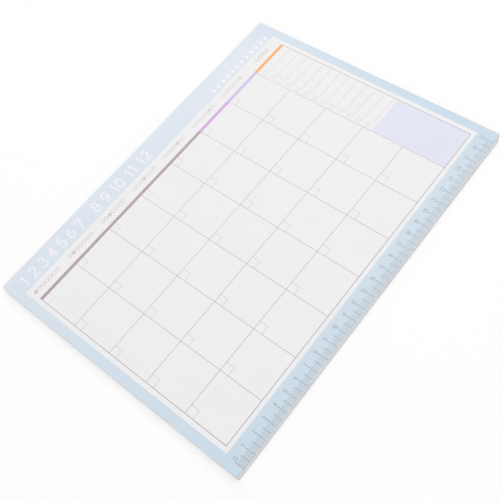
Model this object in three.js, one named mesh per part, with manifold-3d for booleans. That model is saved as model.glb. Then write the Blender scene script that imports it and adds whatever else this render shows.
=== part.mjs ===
// Tear-off desk pad with a month on each leaf, lying flat on a table.
//
// The pad is three pieces: the block of leaves, the greyboard under it and the film of padding
// compound that holds the leaves together along the title edge. The other three edges are free,
// and at the near left corner the top leaf has begun to curl up.
//
// Frame: millimetres, +Z up. +X is the reading direction, +Y points to the title edge.
// The origin is the middle of the footprint on the table.

import * as THREE from "three";
import { mergeVertices } from "three/addons/utils/BufferGeometryUtils.js";
import Module from "manifold-3d";

// Driving dimensions, mm.

// Leaf: the 285 x 210 mm format, its corners just softened by the die.
const LEAF_WIDTH = 285;
const LEAF_DEPTH = 210;
const CORNER_RADIUS = 1;
const LEAF_THICKNESS = 0.1;
const LEAF_COUNT = 60;

// Greyboard, trimmed flush with the leaves.
const BOARD_THICKNESS = 1;

// Film of padding compound brushed on the title edge, up the full height of the pad.
const FILM_THICKNESS = 0.4;
const FILM_EDGE_RADIUS = 0.15;
const FILM_END_MARGIN = 0.5;

// Curl of the top leaf: how far it has lifted at the corner, and how far the bend reaches
// along the near edge and along the left edge.
const CURL_LIFT = 1.2;
const CURL_REACH_X = 72;
const CURL_REACH_Y = 46;
const CURL_STEPS = 14;

// Chords along each rounded corner.
const CORNER_STEPS = 10;
const FILM_EDGE_STEPS = 4;

// Levels that follow from them.

const STACK_BOTTOM = BOARD_THICKNESS;
const STACK_TOP = STACK_BOTTOM + LEAF_COUNT * LEAF_THICKNESS;
const SECOND_LEAF_TOP = STACK_TOP - LEAF_THICKNESS;

const wasm = await Module();
wasm.setup();

/** Closed mesh to solid: only positions are kept and shared corners are merged. */
function toSolid(geometry) {
  const bare = geometry.clone();
  bare.deleteAttribute("normal");
  bare.deleteAttribute("uv");
  const merged = mergeVertices(bare, 1e-5);
  return new wasm.Manifold(
    new wasm.Mesh({
      numProp: 3,
      vertProperties: new Float32Array(merged.attributes.position.array),
      triVerts: new Uint32Array(merged.index.array),
    }),
  );
}

/** Solid back to a mesh that three.js can show. */
function toGeometry(solid) {
  const mesh = solid.getMesh();
  const geometry = new THREE.BufferGeometry();
  geometry.setAttribute("position", new THREE.BufferAttribute(mesh.vertProperties, 3));
  geometry.setIndex(new THREE.BufferAttribute(mesh.triVerts, 1));
  const faceted = geometry.toNonIndexed();
  faceted.computeVertexNormals();
  return faceted;
}

/** Leaf outline about the origin: a rectangle whose corners are quarter circles. */
function leafOutline() {
  const x = LEAF_WIDTH / 2;
  const y = LEAF_DEPTH / 2;
  const r = CORNER_RADIUS;
  const outline = new THREE.Shape();
  outline.moveTo(-x + r, -y);
  outline.lineTo(x - r, -y);
  outline.absarc(x - r, -y + r, r, -Math.PI / 2, 0, false);
  outline.lineTo(x, y - r);
  outline.absarc(x - r, y - r, r, 0, Math.PI / 2, false);
  outline.lineTo(-x + r, y);
  outline.absarc(-x + r, y - r, r, Math.PI / 2, Math.PI, false);
  outline.lineTo(-x, -y + r);
  outline.absarc(-x + r, -y + r, r, Math.PI, 1.5 * Math.PI, false);
  return outline;
}

/** Prism over the leaf outline between two heights. */
function leafPrism(bottom, top) {
  const prism = new THREE.ExtrudeGeometry(leafOutline(), {
    depth: top - bottom,
    bevelEnabled: false,
    curveSegments: CORNER_STEPS,
  });
  prism.translate(0, 0, bottom);
  return prism;
}

/**
 * Block of leaves with the curled top leaf.
 *
 * Paper bends about one straight line at a time, so the curl is a cylinder: every section square
 * to the line where the leaf leaves the stack is the same. That section is drawn once, with the
 * wedge of air under the leaf, swept along the line and trimmed to the leaf outline.
 */
function leafStack() {
  const cornerX = -LEAF_WIDTH / 2;
  const cornerY = -LEAF_DEPTH / 2;

  // The bend line joins its ends on the near and left edges. Its normal points into the pad,
  // and the corner lies at -reach along it.
  const along = new THREE.Vector2(-CURL_REACH_X, CURL_REACH_Y).normalize();
  const inward = new THREE.Vector2(along.y, -along.x);
  const reach = inward.x * CURL_REACH_X;
  const overhang = CORNER_RADIUS;
  const tip = reach + overhang;
  const far = LEAF_WIDTH + LEAF_DEPTH;

  /** Lift of the leaf at a distance from the bend line, on the corner's side of it. */
  const lift = (distance) => CURL_LIFT * (distance / reach) ** 2;

  const section = new THREE.Shape();
  section.moveTo(-far, STACK_BOTTOM);
  section.lineTo(far, STACK_BOTTOM);
  section.lineTo(far, STACK_TOP);
  for (let i = 0; i <= CURL_STEPS; i += 1) {
    const d = (tip * i) / CURL_STEPS;
    section.lineTo(-d, STACK_TOP + lift(d));
  }
  for (let i = CURL_STEPS; i >= 0; i -= 1) {
    const d = (tip * i) / CURL_STEPS;
    section.lineTo(-d, SECOND_LEAF_TOP + lift(d));
  }
  section.lineTo(-far, SECOND_LEAF_TOP);
  section.closePath();

  // Swept along the bend line: local x to inward, local y to up, local z to the sweep.
  const swept = new THREE.ExtrudeGeometry(section, { depth: 2 * far, bevelEnabled: false });
  swept.translate(0, 0, -far);
  const inward3 = new THREE.Vector3(inward.x, inward.y, 0);
  const up = new THREE.Vector3(0, 0, 1);
  const sweep = new THREE.Vector3().crossVectors(inward3, up);
  swept.applyMatrix4(new THREE.Matrix4().makeBasis(inward3, up, sweep));
  swept.translate(cornerX + CURL_REACH_X, cornerY, 0);

  const trim = leafPrism(STACK_BOTTOM - 1, STACK_TOP + 2 * CURL_LIFT + 1);
  return toGeometry(toSolid(swept).intersect(toSolid(trim)));
}

/** Film on the title edge: a flat strip with softly rounded long edges, swept along X. */
function paddingFilm() {
  const t = FILM_THICKNESS;
  const r = Math.min(FILM_EDGE_RADIUS, FILM_THICKNESS);
  const section = new THREE.Shape();
  section.moveTo(0, 0);
  section.lineTo(t - r, 0);
  section.absarc(t - r, r, r, -Math.PI / 2, 0, false);
  section.lineTo(t, STACK_TOP - r);
  section.absarc(t - r, STACK_TOP - r, r, 0, Math.PI / 2, false);
  section.lineTo(0, STACK_TOP);
  section.closePath();
  const length = LEAF_WIDTH - 2 * (CORNER_RADIUS + FILM_END_MARGIN);
  const strip = new THREE.ExtrudeGeometry(section, {
    depth: length,
    bevelEnabled: false,
    curveSegments: FILM_EDGE_STEPS,
  });
  strip.translate(0, 0, -length / 2);
  const y = new THREE.Vector3(0, 1, 0);
  const z = new THREE.Vector3(0, 0, 1);
  const x = new THREE.Vector3(1, 0, 0);
  strip.applyMatrix4(new THREE.Matrix4().makeBasis(y, z, x));
  strip.translate(0, LEAF_DEPTH / 2, 0);
  return strip;
}

function piece(name, geometry, colour, roughness) {
  const material = new THREE.MeshStandardMaterial({ color: colour, roughness, metalness: 0 });
  const mesh = new THREE.Mesh(geometry, material);
  mesh.name = name;
  return mesh;
}

const planner = new THREE.Group();
planner.name = "monthly_planner_pad";
planner.add(piece("leaf_block", leafStack(), 0xeef1f4, 0.75));
planner.add(piece("backing_board", leafPrism(0, BOARD_THICKNESS), 0xb3aca8, 0.9));
planner.add(piece("padding_film", paddingFilm(), 0xf2f1ee, 0.4));

// The film stands proud of the title edge, so the footprint's middle lies half of it back.
planner.position.y = -FILM_THICKNESS / 2;

export default planner;
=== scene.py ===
# %% [markdown]
# # A tear-off monthly planner pad
# The pad is a block of printed leaves on a greyboard back. The solids of the block, the board and
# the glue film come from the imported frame. This lesson adds what a printer adds: flat colours,
# thin rules, small boxes, a ruler and numerals, each as its own coat of ink on the top leaf.
# Every size here is in millimetres until a mesh is made, and then it becomes metres.

import bpy
import numpy as np
from mathutils import Matrix, Vector


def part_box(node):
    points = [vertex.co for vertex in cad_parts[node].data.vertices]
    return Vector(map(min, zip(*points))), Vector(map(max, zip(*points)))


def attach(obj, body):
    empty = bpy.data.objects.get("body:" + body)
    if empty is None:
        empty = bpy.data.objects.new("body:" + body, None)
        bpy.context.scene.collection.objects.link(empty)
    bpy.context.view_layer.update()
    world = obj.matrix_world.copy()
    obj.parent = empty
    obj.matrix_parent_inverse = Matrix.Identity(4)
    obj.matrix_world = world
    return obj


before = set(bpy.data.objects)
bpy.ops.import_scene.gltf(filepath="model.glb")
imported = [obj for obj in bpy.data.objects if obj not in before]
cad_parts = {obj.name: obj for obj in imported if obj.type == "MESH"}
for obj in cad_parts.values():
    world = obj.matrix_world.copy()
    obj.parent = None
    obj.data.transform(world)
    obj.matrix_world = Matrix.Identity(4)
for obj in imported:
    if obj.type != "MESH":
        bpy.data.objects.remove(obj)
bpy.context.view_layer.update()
print("pieces of the frame:", sorted(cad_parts))

# %% [markdown]
# ## The leaf and its curled corner
# Paper bends about one straight line at a time. The top leaf leaves the stack along a line that
# joins a point on the near edge to a point on the left edge, and past that line it rises with
# the square of the distance. The ink has to follow the same rise, so the rise is one function
# that every printed mark uses.

# %% Leaf sizes and the curl
MM = 0.001
LEAF_WIDTH = 285.0
LEAF_DEPTH = 210.0
CORNER_RADIUS = 1.0
CURL_LIFT = 1.2
CURL_REACH_X = 72.0
CURL_REACH_Y = 46.0
LEFT, RIGHT = -LEAF_WIDTH / 2, LEAF_WIDTH / 2
NEAR, FAR = -LEAF_DEPTH / 2, LEAF_DEPTH / 2

board_low, board_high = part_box("backing_board")
LEAF_SHIFT_Y = (board_low.y + board_high.y) / 2 / MM
LEAF_TOP = round(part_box("padding_film")[1].z / MM, 3)


def curl(x, y):
    """Height of the leaf over the stack: the lift at the corner times the square of
    1 - u / reach_x - v / reach_y, where u and v are the distances from the left and near
    edges, and nothing where that is below zero."""
    past_bend = 1 - (x - LEFT) / CURL_REACH_X - (y - NEAR) / CURL_REACH_Y
    return CURL_LIFT * np.maximum(past_bend, 0) ** 2


print("leaf top", LEAF_TOP, "mm, leaf centre y", round(LEAF_SHIFT_Y, 3), "mm")
print("lift at the corner", curl(LEFT, NEAR), "mm")

# %% [markdown]
# ## Ink as a coat on the paper
# Print could be a picture or a pattern in the paper's material. Here each ink is a mesh instead,
# a coat about a hundredth of a millimetre thick, so that its edges stay sharp from any distance.
# A mark is a patch: two arrays of x and y on a grid, and sometimes a mask of the grid's cells
# that carry ink. The patch gets a top and a bottom that follow the curl, and walls round its
# rims, so it is a closed solid. A second coat, such as a numeral on a colour, starts a little
# higher.

# %% Patches of ink
# Foot and top of each coat over the paper, the rise from one crossing stroke to the next, and the
# spacing of a grid where the leaf curls.
FIRST_COAT = (0.004, 0.016)
SECOND_COAT = (0.018, 0.026)
STAGGER = 0.002
CURL_STEP = 3.0


def top_leaf(x, y):
    """Height of the top leaf's face: the level top of the stack plus the curl."""
    return LEAF_TOP + curl(x, y)


def closed_patch(x, y, coat, kind=None, sheet=top_leaf):
    """Corners and quads of a closed coat over a grid whose first axis cross its second points
    up. In a "ring" the first axis closes on itself. A mask says which cells carry ink. A wall
    stands on every side of a cell that has no neighbour."""
    is_ring = isinstance(kind, str)
    z = sheet(x, y)
    low, high = (np.stack([x, y + LEAF_SHIFT_Y, z + c], -1).reshape(-1, 3) for c in coat)
    ids = np.arange(x.size).reshape(x.shape)
    if is_ring:
        ids = np.concatenate([ids, ids[:1]])
    # The four corners of every cell, anticlockwise from above.
    a, b, c, d = ids[:-1, :-1], ids[1:, :-1], ids[1:, 1:], ids[:-1, 1:]
    inked = kind if isinstance(kind, np.ndarray) else np.ones(a.shape, bool)
    around = np.pad(inked, ((1, 1), (0, 0)), mode="wrap" if is_ring else "constant")
    around = np.pad(around, ((0, 0), (1, 1)))
    sides = [
        (a, b, around[1:-1, :-2]),
        (b, c, around[2:, 1:-1]),
        (c, d, around[1:-1, 2:]),
        (d, a, around[:-2, 1:-1]),
    ]
    walls = [
        np.stack([p, q, q + x.size, p + x.size], -1)[inked & ~neighbour]
        for p, q, neighbour in sides
    ]
    top = np.stack([a, b, c, d], -1)[inked]
    quads = np.concatenate([top + x.size, top[:, ::-1], *walls])
    used, quads = np.unique(quads, return_inverse=True)
    return np.concatenate([low, high])[used], quads.reshape(-1, 4)


def ink_mesh(name, patches, coat=FIRST_COAT, stagger=0.0, sheet=top_leaf):
    """One object from many patches. Each patch is (x, y), (x, y, "ring") or (x, y, mask). Strokes
    that cross are staggered: every next one is a hair higher, so no two faces lie in one
    plane."""
    corners, quads, count = [], [], 0
    for k, (x, y, *kind) in enumerate(patches):
        lifted = [level + stagger * (k % 4) for level in coat]
        v, q = closed_patch(x, y, lifted, *kind, sheet=sheet)
        corners.append(v)
        quads.append(q + count)
        count += len(v)
    mesh = bpy.data.meshes.new(name)
    mesh.from_pydata((np.concatenate(corners) * MM).tolist(), [], np.concatenate(quads).tolist())
    mesh.validate()
    piece = bpy.data.objects.new(name, mesh)
    bpy.context.scene.collection.objects.link(piece)
    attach(piece, "root")
    print(f"{name}: {len(patches)} marks, {len(mesh.polygons)} faces")
    return piece


# %% [markdown]
# ## The shapes a printed form is made of
# A form is rules, boxes, dots and numerals. A rule is a rectangle. A dot is a square grid pushed
# out to a circle, which has no pole in the middle. A numeral is a few pen strokes, lines and
# arcs with a width and round ends, the way a lettering guide draws it.


# %% Rules, boxes and dots
def steps(a, b, near_curl):
    """Places along a side: its ends, and every few millimetres between them where it curls."""
    return np.linspace(a, b, int(np.ceil(abs(b - a) / CURL_STEP)) + 1 if near_curl else 2)


def rule(x0, x1, y0, y1):
    """A rectangle as a patch, divided only where the leaf curls under it."""
    curls = bool(curl(x0, y0) > 0)
    return tuple(np.meshgrid(steps(x0, x1, curls), steps(y0, y1, curls), indexing="ij"))


def between(stops, curl_end):
    """Every stop of a run of stops, and places every few millimetres between them as far as the
    curl reaches."""
    runs = [steps(a, b, a < curl_end)[:-1] for a, b in zip(stops, stops[1:])]
    return np.append(np.concatenate(runs), stops[-1])


def box_outline(x0, x1, y0, y1, w):
    """A box outline of line width w inside its corners: a ring of four outer corners, each with
    its inner one."""
    x = np.array([[x0, x0 + w], [x1, x1 - w], [x1, x1 - w], [x0, x0 + w]])
    y = np.array([[y0, y0 + w], [y0, y0 + w], [y1, y1 - w], [y1, y1 - w]])
    return x, y, "ring"


def middles(places):
    """The middle of each step between neighbouring places."""
    return (places[1:] + places[:-1]) / 2


def dot(x, y, radius, rows=9):
    """A disc: u and v run from -1 to 1, and each is shortened by the root of 1 less half the
    other's square, which carries the square's rim to the circle."""
    u, v = np.meshgrid(np.linspace(-1, 1, rows), np.linspace(-1, 1, rows), indexing="ij")
    return x + radius * u * np.sqrt(1 - v * v / 2), y + radius * v * np.sqrt(1 - u * u / 2)


def ring(x, y, radius, w, around=24):
    """A circle's line of width w inside the radius."""
    angle = np.linspace(0, 2 * np.pi, around, endpoint=False)[:, None]
    r = np.array([[radius, radius - w]])
    return x + r * np.cos(angle), y + r * np.sin(angle), "ring"


print("points of a dot:", dot(0, 0, 1)[0].size, "and of a ring:", ring(0, 0, 1, 0.1)[0].size)


# %% [markdown]
# ## Numerals drawn with a pen
# Each numeral sits in a box 1 high and 0.6 wide, and the 1 in a narrower one. Its strokes are
# arcs and straight lines, given as centre lines. The pen walks along the centre line, and its
# half width falls to nothing over the last half width at each end as a circle does, which
# rounds the ends. A stroke that comes back to its start, as in a 0, closes on itself.


# %% Strokes of the ten numerals
def arc(cx, cy, rx, ry, start, end, n=15):
    """Points on an ellipse from one angle to another, in degrees, anticlockwise if it grows."""
    a = np.radians(np.linspace(start, end, n))
    return np.stack([cx + rx * np.cos(a), cy + ry * np.sin(a)], -1)


def straight(*points):
    """One stroke for each side of an open outline."""
    p = np.array(points, float)
    return [np.linspace(a, b, 2) for a, b in zip(p[:-1], p[1:])]


NUMERALS = {
    "0": [arc(0.3, 0.5, 0.29, 0.5, 90, 450, 29)],
    "1": straight((0.0, 0.76), (0.26, 1.0), (0.26, 0.0)),
    "2": [
        np.concatenate([arc(0.3, 0.71, 0.27, 0.29, 165, -32), [[0.03, 0.0]]]),
        *straight((0.03, 0.0), (0.59, 0.0)),
    ],
    "3": [arc(0.29, 0.75, 0.25, 0.25, 160, -90), arc(0.29, 0.26, 0.29, 0.26, 90, -160)],
    "4": straight((0.44, 0.0), (0.44, 1.0), (0.01, 0.3), (0.59, 0.3)),
    "5": [
        *straight((0.54, 1.0), (0.12, 1.0), (0.07, 0.52)),
        arc(0.28, 0.33, 0.3, 0.33, 138, -145, 21),
    ],
    "6": [arc(0.3, 0.31, 0.28, 0.31, 90, 450, 25), arc(0.52, 0.33, 0.5, 0.67, 175, 97, 11)],
    "7": straight((0.02, 1.0), (0.58, 1.0), (0.2, 0.0)),
    "8": [arc(0.3, 0.75, 0.24, 0.25, 90, 450, 23), arc(0.3, 0.25, 0.29, 0.25, 90, 450, 25)],
    "9": [arc(0.3, 0.69, 0.28, 0.31, 90, 450, 25), arc(0.08, 0.67, 0.5, 0.67, -5, -83, 11)],
}
NUMERAL_WIDTH = {digit: 0.26 if digit == "1" else 0.6 for digit in NUMERALS}
print("strokes of the ten numerals:", sum(len(strokes) for strokes in NUMERALS.values()))


# %% The pen
# Distances past the end of a stroke at which its cap has points, and the least half width there,
# both in half widths of the stroke.
CAP = np.array([1.0, 0.92, 0.7, 0.38])
TIP = 0.04


def pen(points, w):
    """A patch along a centre line: each point goes half a width to each side of the path. An
    open path gets short caps whose half width is the root of 1 less the distance squared."""
    closed = np.allclose(points[0], points[-1])
    if closed:
        path = points[:-1]
        along = np.roll(path, -1, 0) - np.roll(path, 1, 0)
        half = np.full(len(path), w / 2)
    else:
        first, last = points[0] - points[1], points[-1] - points[-2]
        head = points[0] + np.outer(CAP, first / np.linalg.norm(first)) * w / 2
        tail = points[-1] + np.outer(CAP[::-1], last / np.linalg.norm(last)) * w / 2
        path = np.concatenate([head, points, tail])
        end = np.maximum(np.sqrt(1 - CAP**2), TIP)
        half = np.concatenate([end, np.ones(len(points)), end[::-1]]) * w / 2
        along = np.gradient(path, axis=0)
    along /= np.linalg.norm(along, axis=1, keepdims=True)
    side = np.stack([along[:, 1], -along[:, 0]], -1) * half[:, None]
    x, y = (np.stack([(path + side)[:, k], (path - side)[:, k]], -1) for k in (0, 1))
    return (x, y, "ring") if closed else (x, y)


def number(text, x, y, height, w, wide=1.0, gap=0.24):
    """Pen strokes of a whole number centred on x with its foot at y. Each numeral's box is its
    own width times wide, and the boxes stand gap apart, both in heights."""
    widths = [NUMERAL_WIDTH[digit] * wide * height for digit in text]
    left = x - (sum(widths) + gap * height * (len(text) - 1)) / 2
    patches = []
    for digit, width in zip(text, widths):
        room = np.array([(width - w) / NUMERAL_WIDTH[digit], height - w])
        for stroke in NUMERALS[digit]:
            patches.append(pen(np.array([left, y]) + w / 2 + stroke * room, w))
        left += width + gap * height
    return patches


print("pen strokes of 27:", len(number("27", 0.0, 0.0, 3.0, 0.2)))


# %% [markdown]
# ## Colours and finishes
# The leaves are uncoated offset paper, printed in flat spot colours. Offset ink on such paper
# soaks in, so it is as matt as the sheet and shows its tooth. The photograph shows every ink
# paler towards the far right corner and the sheet itself nearly even, so each ink runs from one
# colour at the near left corner to a paler one at the far right.
# That paling is a painted sheen: light towards the far right put into each ink's colour.


# %% Colour and node helpers
def linear(code):
    """An sRGB hex colour as linear red, green, blue and alpha: a channel c of at most 0.04045
    is c / 12.92, and any other is ((c + 0.055) / 1.055) to the power 2.4."""
    c = np.array([int(code[k : k + 2], 16) for k in (1, 3, 5)]) / 255
    return (*np.where(c <= 0.04045, c / 12.92, ((c + 0.055) / 1.055) ** 2.4).tolist(), 1.0)


def new_material(name):
    """An empty node material, its tree and its output."""
    material = bpy.data.materials.new(name)
    material.use_nodes = True
    tree = material.node_tree
    tree.nodes.clear()
    return material, tree, tree.nodes.new("ShaderNodeOutputMaterial")


def add(tree, kind, settings=(), **inputs):
    """Adds a node. settings are its own properties; each input is a value, or a socket to link
    from. An underscore in an input's name stands for a space, and _0, _1 for its number."""
    node = tree.nodes.new("ShaderNode" + kind)
    for key, value in dict(settings).items():
        setattr(node, key, value)
    for key, value in inputs.items():
        place = int(key[1:]) if key[1:].isdigit() else key.replace("_", " ")
        socket = node.inputs[place]
        if isinstance(value, bpy.types.NodeSocket):
            tree.links.new(value, socket)
        else:
            socket.default_value = value
    return node


print("sRGB #808080 is", round(linear("#808080")[0], 4), "in linear light")


# %% [markdown]
# ## Uncoated offset paper, and the ink on it
# Paper is a felt of fibres. What the eye gets is a soft tooth about half a millimetre across and
# a faint cloudiness some centimetres wide. Both are noise on the sheet's own coordinates, and the
# tooth only bends the light a little. The inks share the tooth, because they lie in it.

# %% Paper tooth
TOOTH_MM = 0.45
TOOTH_RELIEF_MM = 0.04


def paper_tooth(tree, place, strength):
    """Fine fibre relief as a bump: noise with a cell of TOOTH_MM."""
    noise = add(tree, "TexNoise", Vector=place, Scale=1 / (TOOTH_MM * MM), Detail=3.0)
    return add(
        tree,
        "Bump",
        Strength=strength,
        Distance=TOOTH_RELIEF_MM * MM,
        Height=noise.outputs["Fac"],
    )


print("tooth", TOOTH_MM, "mm across and at most", TOOTH_RELIEF_MM, "mm deep")


# %% Ink
CLOUD_MM = 24.0
EDGE_MM = 28.0


# Share of each ink's painted sheen, less a darkening along the right edge.
def spread(tree, place, right_edge):
    """0 at the near left corner and 1 at the far right one: 0.3 of the way along the sheet plus
    0.7 of the way up it. Over the last EDGE_MM before the right edge it loses right_edge."""
    axes = add(tree, "SeparateXYZ", Vector=place)
    total = 0.0
    for axis, low, high, share in (
        ("X", LEFT, RIGHT, 0.3),
        ("Y", NEAR, FAR, 0.7),
        ("X", RIGHT - EDGE_MM, RIGHT, -right_edge),
    ):
        run = add(tree, "MapRange", Value=axes.outputs[axis])
        run.inputs["From Min"].default_value = low * MM
        run.inputs["From Max"].default_value = high * MM
        run.inputs["To Max"].default_value = share
        total = add(tree, "Math", {"operation": "ADD"}, _0=total, _1=run.outputs[0]).outputs[0]
    return total


def offset_ink(name, near_left, far_right, mottle=0.02, right_edge=0.0):
    """A flat spot colour on uncoated paper, paler towards the far right corner by painted sheen,
    with a mottle where the sheet takes the ink unevenly. right_edge makes it darker again at that
    edge."""
    material, tree, output = new_material(name)
    place = add(tree, "TexCoord").outputs["Object"]
    run = add(tree, "Mix", {"data_type": "RGBA"}, _0=spread(tree, place, right_edge))
    run.inputs[6].default_value = linear(near_left)
    run.inputs[7].default_value = linear(far_right)
    cloud = add(tree, "TexNoise", Vector=place, Scale=1 / (CLOUD_MM * MM), Detail=4.0)
    level = add(tree, "MapRange", Value=cloud.outputs["Fac"])
    level.inputs["To Min"].default_value = 1 - mottle
    level.inputs["To Max"].default_value = 1 + mottle
    toned = add(tree, "HueSaturation", Color=run.outputs[2], Value=level.outputs[0])
    bump = paper_tooth(tree, place, 0.25)
    shader = add(
        tree,
        "BsdfPrincipled",
        Base_Color=toned.outputs[0],
        Roughness=0.62,
        IOR=1.46,
        Normal=bump.outputs[0],
    )
    tree.links.new(shader.outputs[0], output.inputs["Surface"])
    return material


def print_with(piece, material):
    """Gives a piece its one finish."""
    piece.data.materials.clear()
    piece.data.materials.append(material)
    print(f"{piece.name}: {material.name}, {len(material.node_tree.nodes)} nodes")


# %% [markdown]
# ## The blue field
# The sheet is tinted pale blue all round, with a wide band for the title at the far edge and one
# for the ruler at the near edge, and a white panel is left open in it. The tint bleeds off the
# leaf, so it ends where the paper does, round corners included. It is one grid over the whole
# leaf with the panel's cells left out, because bands that only touch would have walls inside.

# %% The open panel and the round corners
PANEL_X0, PANEL_X1 = -135.7, 135.7
PANEL_Y0, PANEL_Y1 = -91.7, 87.5
CURL_END_X, CURL_END_Y = LEFT + CURL_REACH_X, NEAR + CURL_REACH_Y


def side_at(y):
    """How far the leaf's outline stands in from its side at a height y: near a corner, the
    radius less the root of radius squared less the distance into the corner squared."""
    into = np.maximum(np.abs(y) - (LEAF_DEPTH / 2 - CORNER_RADIUS), 0)
    return CORNER_RADIUS - np.sqrt(np.maximum(CORNER_RADIUS**2 - into**2, 0))


def inside(places, low, high):
    """Which steps between places have their middle between low and high."""
    return (middles(places) > low) & (middles(places) < high)


corner_rows = CORNER_RADIUS * (1 - np.cos(np.linspace(0, np.pi / 2, 7)))
print("the outline stands in by", side_at(NEAR + corner_rows).round(2), "mm round a corner")

# %% Blue field
straight_rows = between(
    [NEAR + CORNER_RADIUS, PANEL_Y0, CURL_END_Y, PANEL_Y1, FAR - CORNER_RADIUS], CURL_END_Y
)
rows = np.concatenate([NEAR + corner_rows, straight_rows[1:-1], FAR - corner_rows[::-1]])
columns = between([LEFT, PANEL_X0, CURL_END_X, PANEL_X1, RIGHT], CURL_END_X)
x = (columns / RIGHT)[:, None] * (RIGHT - side_at(rows))
open_panel = inside(columns, PANEL_X0, PANEL_X1)[:, None] & inside(rows, PANEL_Y0, PANEL_Y1)
blue = (x, np.broadcast_to(rows, x.shape), ~open_panel)
pale_blue_ink_and_painted_sheen = offset_ink("pale_blue_offset_ink", "#cbdce9", "#e1e8f1", right_edge=0.45)
blue_field = ink_mesh("blue_field", [blue])
print_with(blue_field, pale_blue_ink_and_painted_sheen)

# %% [markdown]
# ## The calendar grid
# Seven day columns and a notes column, five weeks deep. The places of all the rules' sides make
# one grid, and a cell of it carries ink where it lies in a rule, so the rules join where they
# cross. The week rules stop at the notes column, and the rules round the outside are a little
# heavier. Above the days a thick bar carries the colour of each column.

# %% Sizes of the grid
GRID_X0 = -132.25
COLUMN = 33.0625
GRID_TOP = 74.75
WEEK = 32.68
DAYS, WEEKS = 7, 5
COLUMNS = DAYS + 1
GRID_FOOT = GRID_TOP - WEEKS * WEEK
THIN, HEAVY = 0.25, 0.34
BAR_FOOT, BAR_TOP = GRID_TOP - 0.9, GRID_TOP + 1.5

line_at = GRID_X0 + COLUMN * np.arange(COLUMNS + 1)
weight = np.full(COLUMNS + 1, THIN)
weight[[0, -1]] = HEAVY
week_at = GRID_TOP - WEEK * np.arange(1, WEEKS)
print("grid from", GRID_X0, "to", line_at[-1], "and from", round(GRID_FOOT, 2), "to", GRID_TOP)


# %% Grid rules
def in_rules(places, rule_at, w):
    """Which steps between places have their middle inside a rule of width w."""
    return (np.abs(middles(places)[:, None] - rule_at) < w / 2).any(1)


columns = between(np.sort([line_at - weight / 2, line_at + weight / 2], axis=None), CURL_END_X)
foot_sides = [GRID_FOOT - HEAVY / 2, GRID_FOOT + HEAVY / 2]
week_sides = np.sort([week_at - THIN / 2, week_at + THIN / 2], axis=None)
rows = between([*foot_sides, *week_sides, BAR_FOOT], CURL_END_Y)
down = in_rules(columns, line_at, weight)[:, None]
foot = in_rules(rows, np.array([GRID_FOOT]), HEAVY)
across = in_rules(rows, week_at, THIN) & (middles(columns) < line_at[DAYS])[:, None]
lines = (*np.meshgrid(columns, rows, indexing="ij"), down | foot | across)
mauve_ink_and_painted_sheen = offset_ink("mauve_grey_offset_ink", "#88748a", "#b8abb8")
print_with(ink_mesh("grid_rules", [lines]), mauve_ink_and_painted_sheen)

# %% Coloured bar
# Each bar's colour at the near left corner and, paler with painted sheen, at the far right.
BAR_INKS_AND_PAINTED_SHEEN = {
    "weekday_bar": (0, 5, "#9c8894", "#bdacb6"),
    "sixth_day_bar": (5, 6, "#cfa4d8", "#d6afde"),
    "seventh_day_bar": (6, 7, "#cbb8e4", "#d4c3ea"),
    "notes_bar": (7, 8, "#f7ab57", "#fbb468"),
}
for name, (first, last, near_left, far_right) in BAR_INKS_AND_PAINTED_SHEEN.items():
    x0 = line_at[first] - (HEAVY / 2 if first == 0 else 0)
    x1 = line_at[last] + (HEAVY / 2 if last == COLUMNS else 0)
    bar = ink_mesh(name, [rule(x0, x1, BAR_FOOT, BAR_TOP)])
    print_with(bar, offset_ink(name.replace("bar", "offset_ink"), near_left, far_right))

# %% [markdown]
# ## Date boxes
# Each day has a small box for its date in the far left corner. The grid already draws two of its
# sides, so the box is only a short rule across and up, with a mitred corner, in a paler line.

# %% Date boxes
DATE_BOX = 6.4
FINE = 0.22
marks = []
for week in range(WEEKS):
    top = BAR_FOOT if week == 0 else GRID_TOP - WEEK * week - THIN / 2
    foot = GRID_TOP - WEEK * week - DATE_BOX
    for k in range(DAYS):
        left, right = line_at[k] + weight[k] / 2, line_at[k] + DATE_BOX
        x = np.array([[left, left], [right, right - FINE], [right, right - FINE]])
        y = np.array([[foot, foot + FINE], [foot, foot + FINE], [top, top]])
        marks.append((x, y))
pale_rule_ink_and_painted_sheen = offset_ink("pale_rule_offset_ink", "#b2a6b0", "#cdc6cc")
print_with(ink_mesh("date_boxes", marks), pale_rule_ink_and_painted_sheen)

# %% [markdown]
# ## The notes column
# Thirteen lines to write on, each with a box to tick, stand over a lavender field that fills the
# foot of the column.

# %% Notes column
NOTE_LINES = 13
NOTE_FIRST = 66.4
NOTE_PITCH = 7.82
TICK_BOX, TICK_PEN = 3.1, 0.18
TICK_FOOT = 0.75
TICK_BOX_X = 101.2
LINE_X0, LINE_X1 = 105.0, 130.4
LAVENDER_INSET, LAVENDER_TOP = 0.35, -30.2

line_y = [NOTE_FIRST - NOTE_PITCH * k for k in range(NOTE_LINES)]
note_lines = ink_mesh("note_lines", [rule(LINE_X0, LINE_X1, y, y + FINE) for y in line_y])
print_with(note_lines, offset_ink("note_line_offset_ink", "#b5a9b4", "#d2c8d0"))

tick_x1 = TICK_BOX_X + TICK_BOX
marks = [
    box_outline(TICK_BOX_X, tick_x1, y + TICK_FOOT, y + TICK_FOOT + TICK_BOX, TICK_PEN)
    for y in line_y
]
print_with(ink_mesh("tick_boxes", marks), pale_rule_ink_and_painted_sheen)

x0, x1 = line_at[DAYS] + LAVENDER_INSET, line_at[COLUMNS] - LAVENDER_INSET
lavender = rule(x0, x1, GRID_FOOT + HEAVY / 2, LAVENDER_TOP)
lavender_field = ink_mesh("lavender_field", [lavender])
print_with(lavender_field, offset_ink("lavender_offset_ink", "#e0e3f0", "#e5e7f4"))

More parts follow.
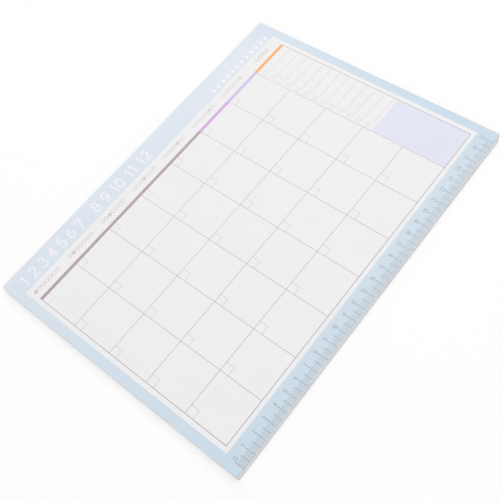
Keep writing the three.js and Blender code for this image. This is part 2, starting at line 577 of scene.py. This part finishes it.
# %% [markdown]
# ## The ruler
# The near edge is a ruler, 27 centimetres long, whose marks start at the very edge of the leaf.
# Millimetres are short and fine, and the half and whole centimetres are longer and heavier.
# Each mark is a small rule at its own millimetre. The numerals stand past the longest marks, and
# the 0 stands beside its own.

# %% Ruler marks
RULER_ZERO = -136.2
RULER_CM = 27
LONG, HALF, SHORT = 6.7, 6.0, 4.9
MARK, HAIR = 0.3, 0.13

millimetres = np.arange(RULER_CM * 10 + 1)
kinds = [
    (millimetres[millimetres % 10 == 0], LONG, MARK),
    (millimetres[millimetres % 10 == 5], HALF, MARK),
    (millimetres[millimetres % 5 != 0], SHORT, HAIR),
]


def ruler_rules(end=np.inf):
    """The marks of every kind whose place along the ruler is less than end."""
    return [
        rule(RULER_ZERO + at - w / 2, RULER_ZERO + at + w / 2, NEAR, NEAR + length)
        for places, length, w in kinds
        for at in places
        if at < end
    ]


ruler_ink_and_painted_sheen = offset_ink("ruler_offset_ink", "#7f7263", "#c2b9bf")
print_with(ink_mesh("ruler_marks", ruler_rules(), SECOND_COAT), ruler_ink_and_painted_sheen)

# %% Ruler numerals
NUMERAL_HEIGHT, NUMERAL_PEN = 3.0, 0.22
NUMERAL_WIDE, NUMERAL_GAP = 0.8, 0.12
NUMERAL_FOOT = NEAR + 7.1
ZERO_X, ZERO_FOOT, ZERO_WIDE = RULER_ZERO + 1.9, NUMERAL_FOOT - 1.3, 0.9
strokes = number("0", ZERO_X, ZERO_FOOT, NUMERAL_HEIGHT, NUMERAL_PEN, ZERO_WIDE)
for cm in range(1, RULER_CM + 1):
    strokes += number(
        str(cm),
        RULER_ZERO + 10 * cm,
        NUMERAL_FOOT,
        NUMERAL_HEIGHT,
        NUMERAL_PEN,
        NUMERAL_WIDE,
        NUMERAL_GAP,
    )
ruler_numerals = ink_mesh("ruler_numerals", strokes, SECOND_COAT, stagger=STAGGER)
print_with(ruler_numerals, ruler_ink_and_painted_sheen)

# %% [markdown]
# ## The title band
# The band carries large numerals for the months, left white as the paper is, and near its
# right end a row of twelve dots, one to fill in for each month, with a short dash over each.
# Two faint rules lead up to the dots.

# %% Title band
paper_white_ink_and_painted_sheen = offset_ink("paper_white_offset_ink", "#ebeaeb", "#f8f4f8", mottle=0.005)
TITLE_FOOT, TITLE_HEIGHT, TITLE_PEN, TITLE_GAP = 90.4, 9.8, 1.25, 0.2
TITLE_X = [-130.0, -121.1, -112.0, -102.8, -93.7, -84.6, -75.4, -58.7, -48.6, -36.2, -22.2, -7.6]
strokes = []
for month, x in enumerate(TITLE_X, 1):
    strokes += number(str(month), x, TITLE_FOOT, TITLE_HEIGHT, TITLE_PEN, gap=TITLE_GAP)
title_numerals = ink_mesh("title_numerals", strokes, SECOND_COAT, stagger=STAGGER)
print_with(title_numerals, paper_white_ink_and_painted_sheen)

# %% Month dots and dashes
MONTHS = 12
MONTH_X, MONTH_PITCH = 68.1, 5.72
MONTH_Y, MONTH_RADIUS = 91.1, 1.6
DASH_FOOT, DASH_TOP, DASH_HALF = 93.95, 95.45, 1.6
FAINT_RULES = [(46.5, 62.8, 93.8, 94.8), (51.6, 61.2, 90.6, 91.6)]

month_at = MONTH_X + MONTH_PITCH * np.arange(MONTHS)
dots = [dot(x, MONTH_Y, MONTH_RADIUS) for x in month_at]
print_with(ink_mesh("month_dots", dots, SECOND_COAT), paper_white_ink_and_painted_sheen)

dashes = [rule(x - DASH_HALF, x + DASH_HALF, DASH_FOOT, DASH_TOP) for x in month_at]
dashes += [rule(*sides) for sides in FAINT_RULES]
month_dashes = ink_mesh("month_dashes", dashes, SECOND_COAT)
print_with(month_dashes, offset_ink("pale_dash_offset_ink", "#e7e4ed", "#f1ebf3"))

# %% [markdown]
# ## Column headings
# Each day column is headed by a row of seven small rings with a dot in the day's own ring, and
# the notes column by a row of small boxes.

# %% Column headings
HEAD_Y, HEAD_PITCH, HEAD_RADIUS, HEAD_PEN = 82.2, 3.5, 1.5, 0.33
HEAD_DOT = 0.85
NOTES_BOXES, NOTES_BOX, NOTES_BOX_PITCH, NOTES_BOX_PEN = 4, 3.0, 3.9, 0.52

marks = []
for k in range(DAYS):
    x = line_at[k] + HEAD_RADIUS + HEAD_PITCH * np.arange(DAYS)
    marks += [ring(at, HEAD_Y, HEAD_RADIUS, HEAD_PEN) for at in x]
    marks.append(dot(x[k], HEAD_Y, HEAD_DOT))

half = NOTES_BOX / 2
column_middle = (line_at[DAYS] + line_at[COLUMNS]) / 2
for k in range(NOTES_BOXES):
    x = column_middle + (k - (NOTES_BOXES - 1) / 2) * NOTES_BOX_PITCH
    marks.append(box_outline(x - half, x + half, HEAD_Y - half, HEAD_Y + half, NOTES_BOX_PEN))
heading_ink_and_painted_sheen = offset_ink("heading_offset_ink", "#6c4872", "#e2d5da")
print_with(ink_mesh("column_heads", marks), heading_ink_and_painted_sheen)

# %% [markdown]
# ## The leaf under the curl
# Where the corner has lifted, the next leaf shows in the gap, and it is printed the same. Its
# tint and its ruler marks end where the gap is too thin for a coat of ink. The tint is one grid
# again: rows along the near edge, more rows up the left edge, and the panel's cells left out.

# %% The gap
LEAF_THICKNESS = 0.1
GAP_SHARE = 0.7


def second_leaf(x, y):
    """Height of the second leaf's face, which is level."""
    return np.full(np.shape(x), LEAF_TOP - LEAF_THICKNESS)


def open_to(distance, reach, other_reach):
    """How far the open gap runs along one edge at a distance up the other: a straight line from
    its share of the reach, down to nothing at that share of the other reach."""
    return GAP_SHARE * reach * (1 - distance / (GAP_SHARE * other_reach))


print("the gap is open for", open_to(0, CURL_REACH_X, CURL_REACH_Y), "mm of the near edge")

# %% Tint on the second leaf
IN_X, IN_Y = PANEL_X0 - LEFT, PANEL_Y0 - NEAR
rows = np.concatenate([corner_rows, [4.0, 8.0, IN_Y]])
inset = side_at(NEAR + rows)
side_columns = np.linspace(0, IN_X, 3)[:, None]
onward = np.linspace(0, 1, 10)[1:, None]
near_x = np.concatenate(
    [
        inset + side_columns * (1 - inset / IN_X),
        IN_X + onward * (open_to(rows, CURL_REACH_X, CURL_REACH_Y) - IN_X),
    ]
)
columns = np.concatenate([side_columns, np.full(onward.shape, IN_X)])
left_y = IN_Y + np.linspace(0, 1, 6)[1:] * (open_to(columns, CURL_REACH_Y, CURL_REACH_X) - IN_Y)
x = np.concatenate([near_x, np.broadcast_to(columns, left_y.shape)], 1)
y = np.concatenate([np.broadcast_to(rows, near_x.shape), left_y], 1)
inked = np.ones((x.shape[0] - 1, x.shape[1] - 1), bool)
inked[len(side_columns) - 1 :, len(rows) - 1 :] = False
second_tint = ink_mesh("second_leaf_tint", [(LEFT + x, NEAR + y, inked)], sheet=second_leaf)
print_with(second_tint, pale_blue_ink_and_painted_sheen)

# %% Ruler marks on the second leaf
shown = open_to(LONG, CURL_REACH_X, CURL_REACH_Y) - (RULER_ZERO - LEFT)
second_marks = ink_mesh("second_leaf_marks", ruler_rules(shown), SECOND_COAT, sheet=second_leaf)
print_with(second_marks, ruler_ink_and_painted_sheen)

# %% [markdown]
# ## The paper itself
# The block keeps the frame's own solid. Seen from above it is one matt white sheet. Seen from the
# side it is the cut edges of sixty leaves, a tenth of a millimetre each, which are too fine to
# show one by one, so the streaks are drawn about three leaves thick and long along the edge.
# Their warm grey, darker than the white top, is partly painted shade.

# %% Offset paper with cut edges
STREAK_MM, STREAK_STRETCH = 0.3, 60
STREAK_RELIEF_MM = 0.08


def offset_paper():
    """White on faces that look up, warm grey streaks on faces that look sideways, their grey
    partly the cut leaves and partly painted shade. The share of the side colour is 1 less the
    square of the upward part of the normal."""
    material, tree, output = new_material("uncoated_offset_paper")
    place = add(tree, "TexCoord").outputs["Object"]
    cloud = add(tree, "TexNoise", Vector=place, Scale=1 / (CLOUD_MM * MM), Detail=3.0)
    sheet = add(tree, "Mix", {"data_type": "RGBA"}, _0=cloud.outputs["Fac"])
    sheet.inputs[6].default_value = linear("#eeedee")
    sheet.inputs[7].default_value = linear("#f2f1f2")

    stretched = add(tree, "Mapping", Vector=place)
    stretched.inputs["Scale"].default_value = (1 / STREAK_STRETCH, 1 / STREAK_STRETCH, 1.0)
    streaks = add(
        tree, "TexNoise", Vector=stretched.outputs[0], Scale=1 / (STREAK_MM * MM), Detail=3.0
    )
    band = add(tree, "MapRange", Value=streaks.outputs["Fac"])
    band.inputs["From Min"].default_value = 0.3
    band.inputs["From Max"].default_value = 0.7
    # Grey of the cut edges: the streaks of the leaves, darkened with painted shade.
    edge = add(tree, "Mix", {"data_type": "RGBA"}, _0=band.outputs[0])
    edge.inputs[6].default_value = linear("#cdcace")
    edge.inputs[7].default_value = linear("#e9e7e9")

    normal = add(tree, "NewGeometry").outputs["True Normal"]
    up = add(tree, "SeparateXYZ", Vector=normal).outputs["Z"]
    square = add(tree, "Math", {"operation": "MULTIPLY"}, _0=up, _1=up)
    side = add(tree, "Math", {"operation": "SUBTRACT"}, _0=1.0, _1=square.outputs[0])
    colour = add(tree, "Mix", {"data_type": "RGBA"}, _0=side.outputs[0])
    tree.links.new(sheet.outputs[2], colour.inputs[6])
    tree.links.new(edge.outputs[2], colour.inputs[7])

    tooth = paper_tooth(tree, place, 0.3)
    ridges = add(
        tree, "Math", {"operation": "MULTIPLY"}, _0=streaks.outputs["Fac"], _1=side.outputs[0]
    )
    relief = add(
        tree,
        "Bump",
        Strength=0.5,
        Distance=STREAK_RELIEF_MM * MM,
        Height=ridges.outputs[0],
        Normal=tooth.outputs[0],
    )
    shader = add(
        tree,
        "BsdfPrincipled",
        Base_Color=colour.outputs[2],
        Roughness=0.7,
        IOR=1.47,
        Normal=relief.outputs[0],
    )
    tree.links.new(shader.outputs[0], output.inputs["Surface"])
    return material


leaf_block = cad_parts["leaf_block"]
print_with(leaf_block, offset_paper())
print("leaf block faces:", len(leaf_block.data.polygons))

# %% [markdown]
# ## Greyboard
# The back is greyboard, pressed from waste paper. It is a warm grey with darker and lighter
# fibres about a millimetre long, and it is quite matt.

# %% Greyboard
FIBRE_MM, UNEVEN_MM = 0.9, 18.0
FIBRE_RELIEF_MM = 0.08


def greyboard():
    """Two noises, one for the fibres and one for a slow unevenness, pick between two greys."""
    material, tree, output = new_material("pressed_greyboard")
    place = add(tree, "TexCoord").outputs["Object"]
    fibre = add(
        tree, "TexNoise", Vector=place, Scale=1 / (FIBRE_MM * MM), Detail=5.0, Distortion=0.6
    )
    slow = add(tree, "TexNoise", Vector=place, Scale=1 / (UNEVEN_MM * MM), Detail=2.0)
    both = add(tree, "Math", {"operation": "ADD"}, _0=fibre.outputs["Fac"], _1=slow.outputs["Fac"])
    pick = add(tree, "MapRange", Value=both.outputs[0])
    pick.inputs["From Min"].default_value = 0.7
    pick.inputs["From Max"].default_value = 1.3
    colour = add(tree, "Mix", {"data_type": "RGBA"}, _0=pick.outputs[0])
    colour.inputs[6].default_value = linear("#b2aba8")
    colour.inputs[7].default_value = linear("#cec7c4")
    relief = add(
        tree,
        "Bump",
        Strength=0.5,
        Distance=FIBRE_RELIEF_MM * MM,
        Height=fibre.outputs["Fac"],
    )
    shader = add(
        tree,
        "BsdfPrincipled",
        Base_Color=colour.outputs[2],
        Roughness=0.85,
        IOR=1.45,
        Normal=relief.outputs[0],
    )
    tree.links.new(shader.outputs[0], output.inputs["Surface"])
    return material


print_with(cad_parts["backing_board"], greyboard())

# %% [markdown]
# ## Padding compound
# The title edge is brushed with padding compound, a white water-based glue that dries to a
# rubbery film. It is smooth and a little glossy, and the brush leaves long shallow waves in it.

# %% Padding compound
BRUSH_MM, BRUSH_STRETCH = 1.6, 14
BRUSH_RELIEF_MM = 0.3


def padding_compound():
    """A milky film with brush waves: noise drawn out along the edge tints it and bends the
    light."""
    material, tree, output = new_material("dried_padding_compound")
    place = add(tree, "TexCoord").outputs["Object"]
    drawn = add(tree, "Mapping", Vector=place)
    drawn.inputs["Scale"].default_value = (1 / BRUSH_STRETCH, 1.0, 1.0)
    waves = add(tree, "TexNoise", Vector=drawn.outputs[0], Scale=1 / (BRUSH_MM * MM), Detail=2.0)
    colour = add(tree, "Mix", {"data_type": "RGBA"}, _0=waves.outputs["Fac"])
    colour.inputs[6].default_value = linear("#dfdeda")
    colour.inputs[7].default_value = linear("#f8f7f4")
    relief = add(
        tree,
        "Bump",
        Strength=0.6,
        Distance=BRUSH_RELIEF_MM * MM,
        Height=waves.outputs["Fac"],
    )
    shader = add(
        tree,
        "BsdfPrincipled",
        Base_Color=colour.outputs[2],
        Roughness=0.34,
        IOR=1.48,
        Normal=relief.outputs[0],
    )
    tree.links.new(shader.outputs[0], output.inputs["Surface"])
    return material


print_with(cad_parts["padding_film"], padding_compound())

# %% [markdown]
# ## The ground
# A plain white ground that runs off every side of the view. Where the camera sees it, half of its
# white is its own, so that the pad's soft shadow shows on it only as faintly as in a bright
# room. The light that it throws back on the pad is a little less than white, as a table's is.

# %% Ground finish
BOUNCED_WHITE = 0.9
GLOW_SHARE = 0.5


def white_ground():
    """Matt white to bounced light. To the camera and to reflections it is an even mix of that
    finish and a plain white glow."""
    material, tree, output = new_material("matt_white_ground")
    rays = add(tree, "LightPath")
    seen = rays.outputs["Is Camera Ray"]
    for other in ("Is Glossy Ray", "Is Transmission Ray"):
        either = add(tree, "Math", {"operation": "MAXIMUM"}, _0=seen, _1=rays.outputs[other])
        seen = either.outputs[0]
    colour = add(tree, "Mix", {"data_type": "RGBA"}, _0=seen)
    colour.inputs[6].default_value = (BOUNCED_WHITE, BOUNCED_WHITE, BOUNCED_WHITE, 1)
    colour.inputs[7].default_value = (1.0, 1.0, 1.0, 1)
    matt = add(tree, "BsdfDiffuse", Color=colour.outputs[2])
    glow = add(tree, "Emission", Color=(1.0, 1.0, 1.0, 1), Strength=1.0)
    share = add(tree, "Math", {"operation": "MULTIPLY"}, _0=seen, _1=GLOW_SHARE)
    mixed = add(tree, "MixShader", _0=share.outputs[0])
    tree.links.new(matt.outputs[0], mixed.inputs[1])
    tree.links.new(glow.outputs[0], mixed.inputs[2])
    tree.links.new(mixed.outputs[0], output.inputs["Surface"])
    return material


print("the ground gives back", BOUNCED_WHITE, "of the light")

# %% Ground
GROUND_HALF = 3000.0
GROUND_DROP = 0.05

corners = GROUND_HALF * np.array([[-1.0, -1, 0], [1, -1, 0], [1, 1, 0], [-1, 1, 0]])
corners[:, 2] = -GROUND_DROP
ground_mesh = bpy.data.meshes.new("ground")
ground_mesh.from_pydata((corners * MM).tolist(), [], [[0, 1, 2, 3]])
ground = bpy.data.objects.new("ground", ground_mesh)
bpy.context.scene.collection.objects.link(ground)
ground_mesh.materials.append(white_ground())
print("ground", 2 * GROUND_HALF, "mm square")

# %% [markdown]
# ## Light
# The pad was photographed in a bright white room, with light from all round and hardly a shadow.
# The world gives almost half of the light, and three wide suns the rest, one high and two low to
# reach the edges all round, so the ground is as white far off as it is close by. A sun is given
# as its share of a full white, which is a strength of pi over the sine of its height. One small
# lamp over the far right makes the sheet a little brighter there. Its place is in metres and its
# power in watts. The camera sees a plain white world.

# %% World
ROOM_LIGHT = 0.44

world = bpy.data.worlds.new("white_room")
bpy.context.scene.world = world
world.use_nodes = True
tree = world.node_tree
tree.nodes.clear()
rays = add(tree, "LightPath")
room = add(tree, "Background", Color=(1.0, 1.0, 1.0, 1), Strength=ROOM_LIGHT)
backdrop = add(tree, "Background", Color=(1.0, 1.0, 1.0, 1), Strength=1.0)
choice = add(tree, "MixShader", _0=rays.outputs["Is Camera Ray"])
tree.links.new(room.outputs[0], choice.inputs[1])
tree.links.new(backdrop.outputs[0], choice.inputs[2])
end = tree.nodes.new("ShaderNodeOutputWorld")
tree.links.new(choice.outputs[0], end.inputs["Surface"])
print("world:", world.name, "with", ROOM_LIGHT, "of full white")

# %% Lamps
SUN_DEGREES = 50


def light(name, kind, place, energy):
    """A light at a place, aimed at the middle of the pad."""
    data = bpy.data.lights.new(name, kind)
    data.energy = energy
    lamp = bpy.data.objects.new(name, data)
    bpy.context.scene.collection.objects.link(lamp)
    lamp.location = place
    lamp.rotation_euler = (-Vector(place)).to_track_quat("-Z", "Y").to_euler()
    return data


def wide_sun(name, place, share):
    """A sun that gives level ground that share of white. Its disc is SUN_DEGREES wide."""
    height = Vector(place).normalized().z
    light(name, "SUN", place, share * np.pi / height).angle = np.radians(SUN_DEGREES)


wide_sun("high_sun", (0.15, -0.15, 1.0), 0.29)
wide_sun("near_sun", (-0.65, -0.68, 0.4), 0.12)
wide_sun("far_sun", (0.5, 0.7, 0.45), 0.06)
side_lamp = light("side_lamp", "AREA", (0.4, 0.12, 0.75), 0.8)
side_lamp.shape = "DISK"
side_lamp.size = 0.5
print("lights:", [lamp.name for lamp in bpy.data.lights])
bpy.context.scene.view_settings.view_transform = "Standard"

# %% [markdown]
# ## Camera
# The photograph looks down on the pad from over its near left corner, with the camera rolled so
# that the ruler climbs to the right. The place, the aim and the roll are those of a pinhole
# camera fitted to the printed grid and the leaf's edges.

# %% Camera
CAMERA_AT = Vector((-166.46, -217.71 + LEAF_SHIFT_Y, 421.45)) * MM
CAMERA_AIM = Vector((-23.83, -18.68 + LEAF_SHIFT_Y, 7.0)) * MM
CAMERA_ROLL = np.radians(-17.754)
FOCAL_PIXELS = 730.59
PHOTO_PIXELS = 500
SENSOR_MM = 36.0

camera_data = bpy.data.cameras.new("camera")
camera_data.sensor_width = SENSOR_MM
camera_data.lens = FOCAL_PIXELS / PHOTO_PIXELS * SENSOR_MM
camera = bpy.data.objects.new("camera", camera_data)
bpy.context.scene.collection.objects.link(camera)
look = (CAMERA_AIM - CAMERA_AT).to_track_quat("-Z", "Y").to_matrix()
camera.matrix_world = Matrix.Translation(CAMERA_AT) @ (
    look @ Matrix.Rotation(CAMERA_ROLL, 3, "Z")
).to_4x4()
bpy.context.scene.camera = camera
print("lens", round(camera_data.lens, 2), "mm")
